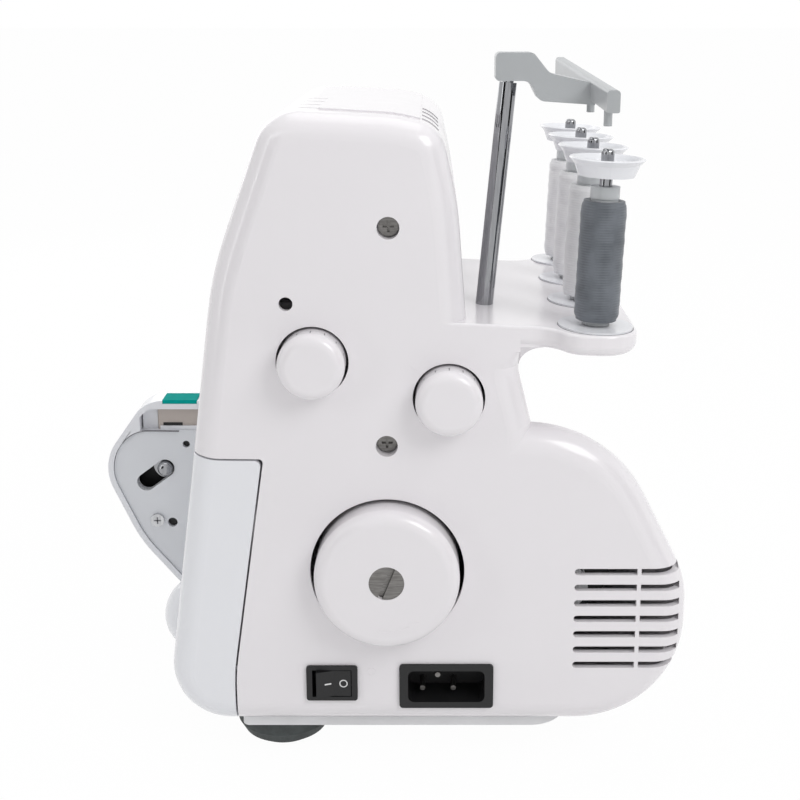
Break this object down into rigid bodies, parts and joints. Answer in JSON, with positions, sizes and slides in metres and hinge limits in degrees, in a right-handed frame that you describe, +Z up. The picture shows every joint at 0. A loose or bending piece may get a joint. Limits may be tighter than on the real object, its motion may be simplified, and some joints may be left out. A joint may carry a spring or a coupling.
{
  "type": "serger overlock machine",
  "caption": "Free-standing overlock sewing machine with handwheel, tension wheels, rear spool tray, telescopic thread pole and a front door with a pod.",
  "frame": {"origin": "on the table, under the middle of the machine's outer box", "axes": "+X towards the handwheel side, +Y to the back, +Z up"},
  "size_m": [0.261, 0.2561, 0.2917],
  "materials": {
    "white_casing": "gloss",
    "door_white": "gloss",
    "grey_plastic": "satin",
    "light_grey_panel": "satin",
    "base_steel": "satin",
    "foot_rubber": "matte",
    "cast_frame": "matte",
    "bright_steel": "brushed",
    "dark_steel": "satin",
    "chrome_pole": "polished",
    "black_plastic": "satin",
    "belt_rubber": "matte",
    "motor_paint": "satin",
    "teal_plastic": "gloss",
    "grey_thread": "matte",
    "white_thread": "matte"
  },
  "bodies": {
    "base": {"base_plate": "base_steel", "rubber_feet": "foot_rubber", "frame_casting": "cast_frame", "right_casing": "white_casing", "left_casing": "white_casing", "top_plate": "light_grey_panel", "bed_casing": "white_casing", "cloth_plate": "light_grey_panel", "needle_plate": "bright_steel", "lower_knife": "bright_steel", "drive_belt": "belt_rubber", "motor_body": "motor_paint", "switch_bezel": "black_plastic", "inlet_housing": "black_plastic", "inlet_pins": "dark_steel", "cover_screws": "dark_steel", "spool_tray": "white_casing", "spool_rests": "door_white", "spool_pins": "chrome_pole", "spool_caps": "door_white", "pole_tube": "chrome_pole", "tension_shaft": "bright_steel"},
    "wheel": {"handwheel": "white_casing", "handwheel_screw": "dark_steel", "main_shaft": "bright_steel", "shaft_pulley": "black_plastic"},
    "motor_rotor": {"motor_pulley": "bright_steel"},
    "length_knob": {"stitch_length_dial": "white_casing"},
    "feed_knob": {"differential_dial": "white_casing"},
    "rocker": {"switch_rocker": "black_plastic"},
    "hinge": {"hinge_rod": "bright_steel"},
    "door": {"front_door": "door_white", "door_end_plate": "light_grey_panel", "door_plate_screw": "dark_steel", "seam_guide_strip": "teal_plastic"},
    "latch": {"latch_pin": "chrome_pole"},
    "pole_slider": {"pole_rod": "chrome_pole"},
    "guide": {"thread_guide": "grey_plastic"},
    "presser": {"presser_bar": "chrome_pole", "presser_foot": "bright_steel"},
    "lifter": {"presser_lever": "grey_plastic"},
    "needle_unit": {"needle_bar": "chrome_pole", "needle_clamp": "bright_steel", "needles": "bright_steel"},
    "looper_upper": {"upper_looper": "bright_steel"},
    "looper_lower": {"lower_looper": "bright_steel"},
    "feed": {"feed_dog": "bright_steel"},
    "knife": {"upper_knife": "bright_steel"},
    "spool_1": {"spool_1_core": "door_white", "spool_1_thread": "grey_thread"},
    "tension_1": {"tension_dial_1": "white_casing"},
    "spool_2": {"spool_2_core": "door_white", "spool_2_thread": "white_thread"},
    "tension_2": {"tension_dial_2": "white_casing"},
    "spool_3": {"spool_3_core": "door_white", "spool_3_thread": "white_thread"},
    "tension_3": {"tension_dial_3": "white_casing"},
    "spool_4": {"spool_4_core": "door_white", "spool_4_thread": "white_thread"},
    "tension_4": {"tension_dial_4": "white_casing"}
  },
  "joints": [
    {"name": "handwheel_turn", "type": "hinge", "parent": "base", "child": "wheel", "pos_m": [0.12, 0.005, 0.0872], "axis": [1, 0, 0], "continuous": true},
    {"name": "motor_turn", "type": "hinge", "parent": "base", "child": "motor_rotor", "pos_m": [0.097, 0.078, 0.072], "axis": [1, 0, 0], "continuous": true},
    {"name": "stitch_length_turn", "type": "hinge", "parent": "base", "child": "length_knob", "pos_m": [0.12, -0.0235, 0.1749], "axis": [1, 0, 0], "range_deg": [-135, 135]},
    {"name": "differential_turn", "type": "hinge", "parent": "base", "child": "feed_knob", "pos_m": [0.12, 0.0296, 0.1601], "axis": [1, 0, 0], "range_deg": [-135, 135]},
    {"name": "rocker_tilt", "type": "hinge", "parent": "base", "child": "rocker", "pos_m": [0.117, -0.0181, 0.038], "axis": [0, 0, -1], "range_deg": [0, 16]},
    {"name": "door_slide", "type": "slide", "parent": "base", "child": "hinge", "axis": [1, 0, 0], "range_m": [0, 0.008]},
    {"name": "door_tilt", "type": "hinge", "parent": "hinge", "child": "door", "pos_m": [0, -0.0622, 0.0209], "axis": [1, 0, 0], "range_deg": [0, 45]},
    {"name": "latch_slide", "type": "slide", "parent": "door", "child": "latch", "axis": [0, -0.8031, -0.5958], "range_m": [0, 0.0095]},
    {"name": "pole_extend", "type": "slide", "parent": "base", "child": "pole_slider", "axis": [0, 0.0941, 0.9956], "range_m": [0, 0.085]},
    {"name": "guide_swivel", "type": "hinge", "parent": "pole_slider", "child": "guide", "pos_m": [0.084, 0.0446, 0.1902], "axis": [0, 0.0941, 0.9956], "range_deg": [-25, 25]},
    {"name": "spool_1_spin", "type": "hinge", "parent": "base", "child": "spool_1", "pos_m": [0.115, 0.08687, 0.19792], "axis": [0, 0.0419, 0.9991], "continuous": true},
    {"name": "spool_2_spin", "type": "hinge", "parent": "base", "child": "spool_2", "pos_m": [0.072, 0.08687, 0.19792], "axis": [0, 0.0419, 0.9991], "continuous": true},
    {"name": "spool_3_spin", "type": "hinge", "parent": "base", "child": "spool_3", "pos_m": [0.029, 0.08687, 0.19792], "axis": [0, 0.0419, 0.9991], "continuous": true},
    {"name": "spool_4_spin", "type": "hinge", "parent": "base", "child": "spool_4", "pos_m": [-0.014, 0.08687, 0.19792], "axis": [0, 0.0419, 0.9991], "continuous": true},
    {"name": "tension_1_turn", "type": "hinge", "parent": "base", "child": "tension_1", "pos_m": [0.1, -0.0434, 0.222], "axis": [1, 0, 0], "range_deg": [-150, 150]},
    {"name": "tension_2_turn", "type": "hinge", "parent": "base", "child": "tension_2", "pos_m": [0.083, -0.0434, 0.222], "axis": [1, 0, 0], "range_deg": [-150, 150]},
    {"name": "tension_3_turn", "type": "hinge", "parent": "base", "child": "tension_3", "pos_m": [0.066, -0.0434, 0.222], "axis": [1, 0, 0], "range_deg": [-150, 150]},
    {"name": "tension_4_turn", "type": "hinge", "parent": "base", "child": "tension_4", "pos_m": [0.049, -0.0434, 0.222], "axis": [1, 0, 0], "range_deg": [-150, 150]},
    {"name": "presser_lift", "type": "slide", "parent": "base", "child": "presser", "axis": [0, 0, 1], "range_m": [0, 0.0055]},
    {"name": "presser_lever_turn", "type": "hinge", "parent": "base", "child": "lifter", "pos_m": [-0.031, 0.022, 0.186], "axis": [1, 0, 0], "range_deg": [0, 60]},
    {"name": "needle_bar_stroke", "type": "slide", "parent": "base", "child": "needle_unit", "axis": [0, 0, 1], "range_m": [-0.024, 0]},
    {"name": "upper_looper_swing", "type": "hinge", "parent": "base", "child": "looper_upper", "pos_m": [0.017, -0.03, 0.062], "axis": [0, 1, 0], "range_deg": [-12, 12]},
    {"name": "lower_looper_swing", "type": "hinge", "parent": "base", "child": "looper_lower", "pos_m": [-0.018, -0.03, 0.062], "axis": [0, 1, 0], "range_deg": [-12, 7]},
    {"name": "feed_stroke", "type": "slide", "parent": "base", "child": "feed", "axis": [0, 1, 0], "range_m": [-0.0018, 0.0018]},
    {"name": "knife_stroke", "type": "slide", "parent": "base", "child": "knife", "axis": [0, 0, 1], "range_m": [-0.01, 0]}
  ],
  "couplings": [
    {"joint": "motor_turn", "follows": "handwheel_turn", "ratio": 3},
    {"joint": "presser_lever_turn", "follows": "presser_lift", "rad_per_m": 190.4}
  ]
}
